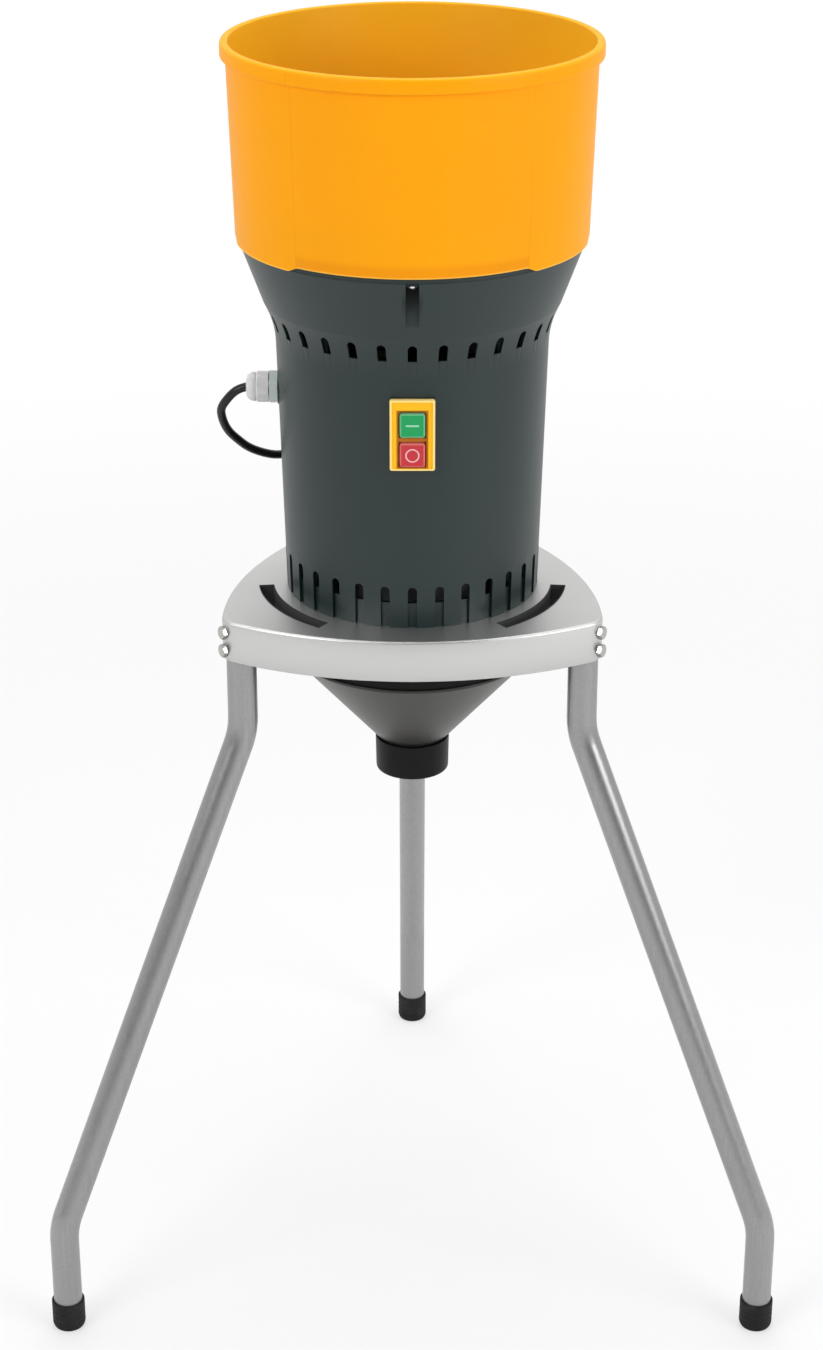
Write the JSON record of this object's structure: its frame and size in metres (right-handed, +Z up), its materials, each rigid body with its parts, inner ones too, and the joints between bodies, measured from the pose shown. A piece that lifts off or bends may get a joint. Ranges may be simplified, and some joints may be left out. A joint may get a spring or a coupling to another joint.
{
  "type": "electric grain mill",
  "caption": "Upright electric grain mill: round orange hopper on a dark vented motor housing, steel plate on a splayed tripod, conical funnel outlet below.",
  "frame": {"origin": "on the floor, under the middle of the box around the whole mill, which is also the middle of its three feet from left to right and from front to back", "axes": "+Z up, -Y towards the user who faces the switch, +X to that user's right; the mill's own axis stands 87.75 mm in front of the origin, at y = -0.08775"},
  "size_m": [0.6368, 0.5553, 1.1],
  "materials": {
    "hopper": "moulded, slightly translucent orange",
    "housing": "matt dark slate",
    "switch_yellow": "moulded",
    "start_green": "moulded",
    "stop_red": "moulded",
    "black_plastic": "moulded",
    "gland_grey": "moulded",
    "seal_rubber": "soft",
    "cord_rubber": "smooth cord jacket",
    "pin_brass": "plated",
    "zinc": "zinc plated",
    "spring_steel": "drawn",
    "core_iron": "stacked sheets",
    "copper": "enamelled wire, wound",
    "shaft_steel": "ground",
    "cast_alloy": "cast",
    "dark_steel": "painted",
    "capacitor_alloy": "drawn can",
    "plate_steel": "brushed",
    "leg_grey": "satin grey",
    "black_metal": "black",
    "funnel_grey": "satin dark grey",
    "collar_black": "matt",
    "cap_rubber": "matt"
  },
  "bodies": {
    "mill": {"hopper": "hopper", "hopper_screws": "zinc", "housing": "housing", "feed_ducts": "housing", "switch_frame": "switch_yellow", "switch_body": "black_plastic", "start_spring": "spring_steel", "stop_spring": "spring_steel", "gland_body": "gland_grey", "gland_nut": "gland_grey", "gland_seal": "seal_rubber", "gland_locknut": "gland_grey", "power_cord": "cord_rubber", "cord_tail": "cord_rubber", "cord_coil": "cord_rubber", "cord_tie": "black_plastic", "cord_end": "cord_rubber", "plug_body": "cord_rubber", "plug_pins": "pin_brass", "stator": "core_iron", "windings": "copper", "lower_bearing": "shaft_steel", "upper_bearing": "shaft_steel", "lower_end_shield": "cast_alloy", "upper_end_shield": "cast_alloy", "motor_bolts": "zinc", "motor_nuts": "zinc", "fan_cowl": "dark_steel", "capacitor": "capacitor_alloy", "capacitor_clip": "black_plastic", "terminal_block": "gland_grey", "sieve": "plate_steel", "chamber_ring": "black_metal", "chamber_bolts": "zinc", "chamber_nuts": "zinc", "funnel": "funnel_grey", "funnel_screws": "zinc", "outlet_collar": "collar_black", "stand_plate": "plate_steel", "leg_left": "leg_grey", "leg_right": "leg_grey", "leg_back": "leg_grey", "foot_cap_left": "cap_rubber", "foot_cap_right": "cap_rubber", "foot_cap_back": "cap_rubber", "leg_bolts": "zinc", "leg_nuts": "zinc"},
    "start_button": {"start_button": "start_green"},
    "stop_button": {"stop_button": "stop_red"},
    "rotor": {"shaft": "shaft_steel", "rotor_core": "core_iron", "fan": "black_plastic", "fan_clip": "spring_steel", "blade": "shaft_steel", "blade_hub": "shaft_steel", "blade_nut": "zinc"}
  },
  "joints": [
    {"name": "start_press", "type": "slide", "parent": "mill", "child": "start_button", "axis": [0, 1, 0], "range_m": [0, 0.003], "stiffness_N_per_m": 300, "springref_m": -0.001, "deforming": ["start_spring"]},
    {"name": "stop_press", "type": "slide", "parent": "mill", "child": "stop_button", "axis": [0, 1, 0], "range_m": [0, 0.003], "stiffness_N_per_m": 300, "springref_m": -0.001, "deforming": ["stop_spring"]},
    {"name": "rotor_spin", "type": "hinge", "parent": "mill", "child": "rotor", "pos_m": [0, -0.08775, 0.7], "axis": [0, 0, 1], "continuous": true}
  ]
}
